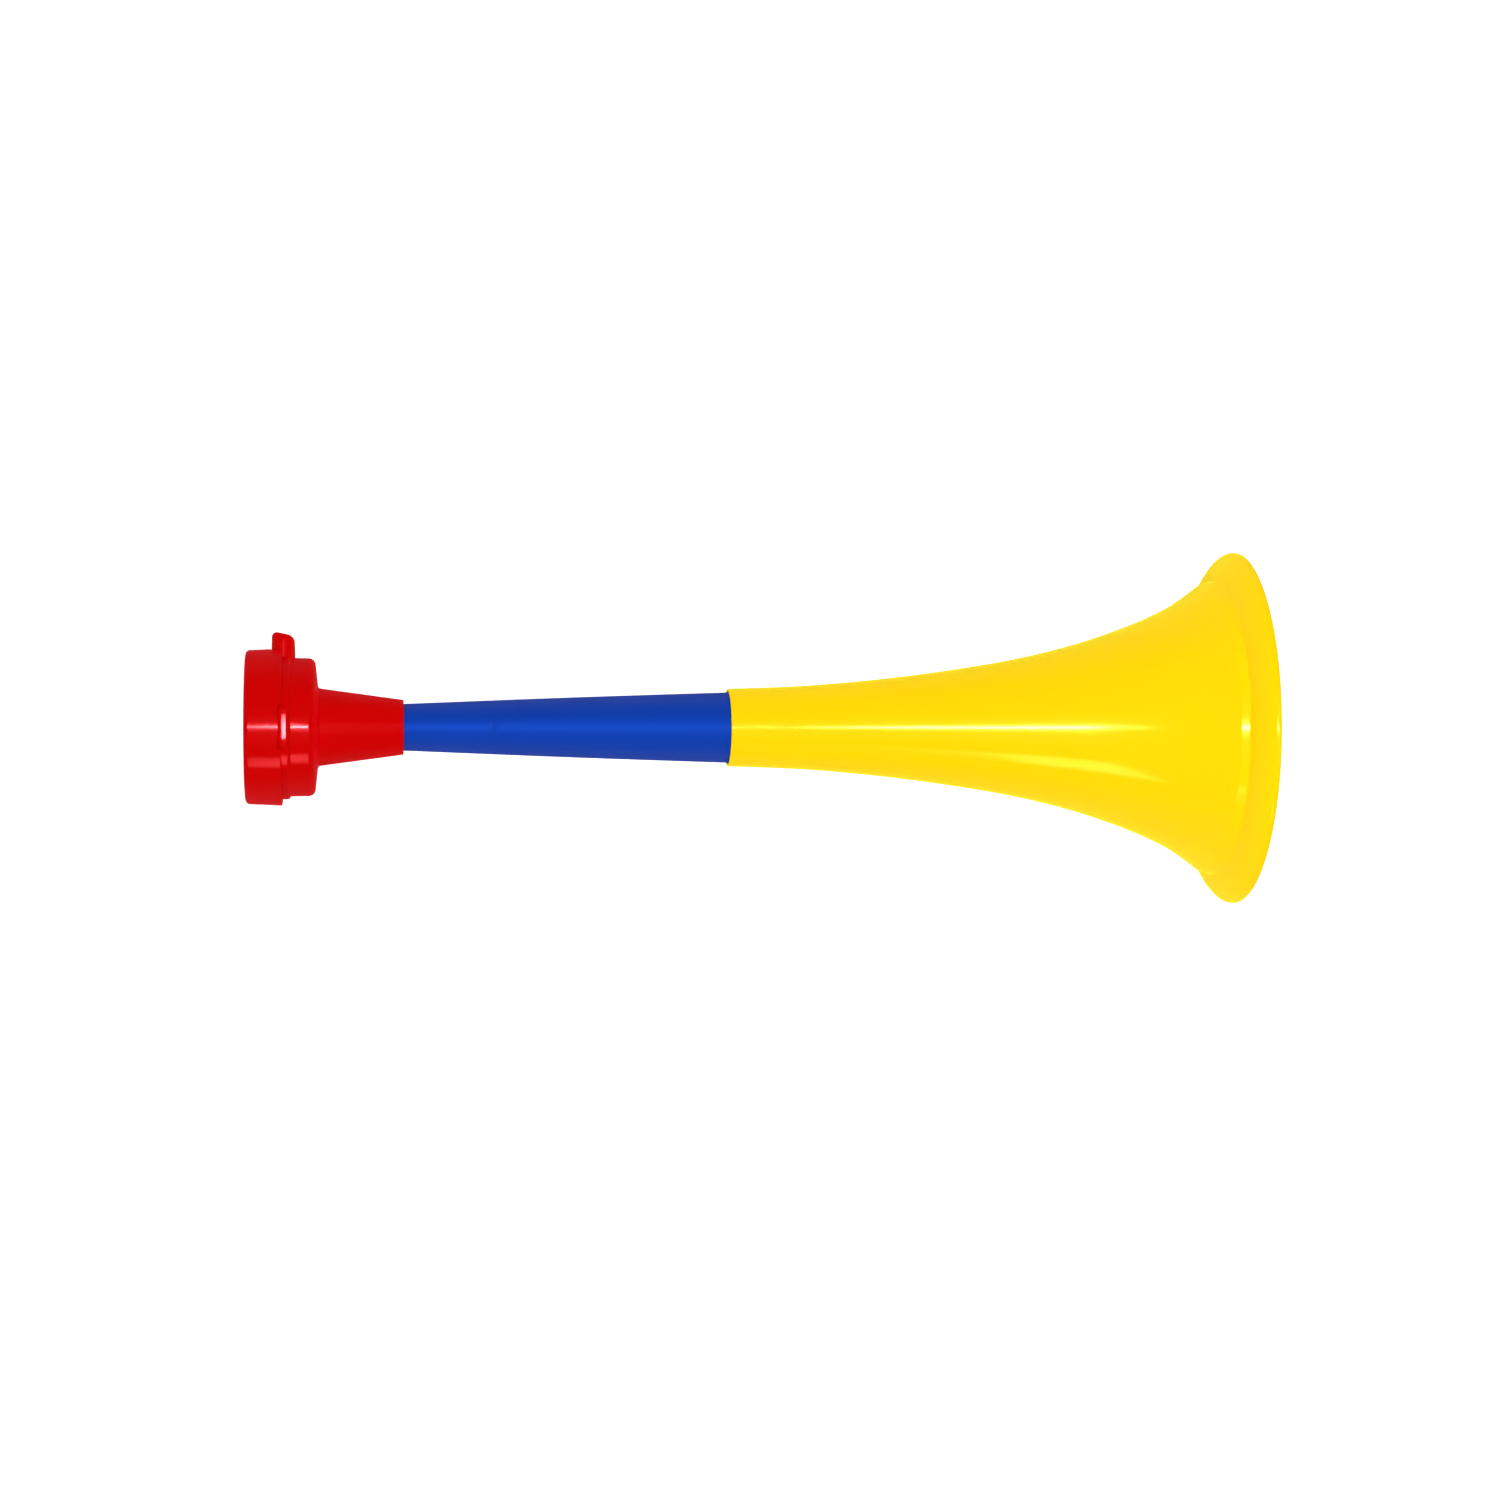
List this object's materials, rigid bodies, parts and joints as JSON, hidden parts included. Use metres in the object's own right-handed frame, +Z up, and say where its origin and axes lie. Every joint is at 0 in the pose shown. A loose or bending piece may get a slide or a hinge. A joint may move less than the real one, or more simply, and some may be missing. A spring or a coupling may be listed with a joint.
{
  "type": "stadium horn",
  "caption": "Telescoping plastic stadium horn: capped membrane head with a side blow spout, tapered tube and flared bell with a rounded-over rim, lying on its side.",
  "frame": {"origin": "middle of the floor area that the lying horn covers, at floor height", "axes": "+X toward the bell's mouth, +Y the side the blow spout points to, +Z up; the horn's own axis leans up toward the bell by 5.94 degrees"},
  "size_m": [0.358, 0.126, 0.1253],
  "materials": {
    "red_plastic": "glossy injection-moulded red plastic",
    "blue_plastic": "satin injection-moulded blue plastic",
    "yellow_plastic": "glossy injection-moulded yellow plastic",
    "clear_film": "thin translucent plastic film"
  },
  "bodies": {
    "bell_section": {"bell": "yellow_plastic"},
    "tube_section": {"middle_tube": "blue_plastic"},
    "head_section": {"head_body": "red_plastic", "membrane": "clear_film"},
    "cap_section": {"cap": "red_plastic"}
  },
  "joints": [
    {"name": "tube_slide", "type": "slide", "parent": "bell_section", "child": "tube_section", "axis": [0.9946, 0, 0.1034], "range_m": [0, 0.13]},
    {"name": "head_swivel", "type": "hinge", "parent": "tube_section", "child": "head_section", "pos_m": [-0.12226, 0, 0.03206], "axis": [0.9946, 0, 0.1034], "continuous": true},
    {"name": "cap_pull", "type": "slide", "parent": "head_section", "child": "cap_section", "axis": [-0.9946, 0, -0.1034], "range_m": [0, 0.02]}
  ]
}
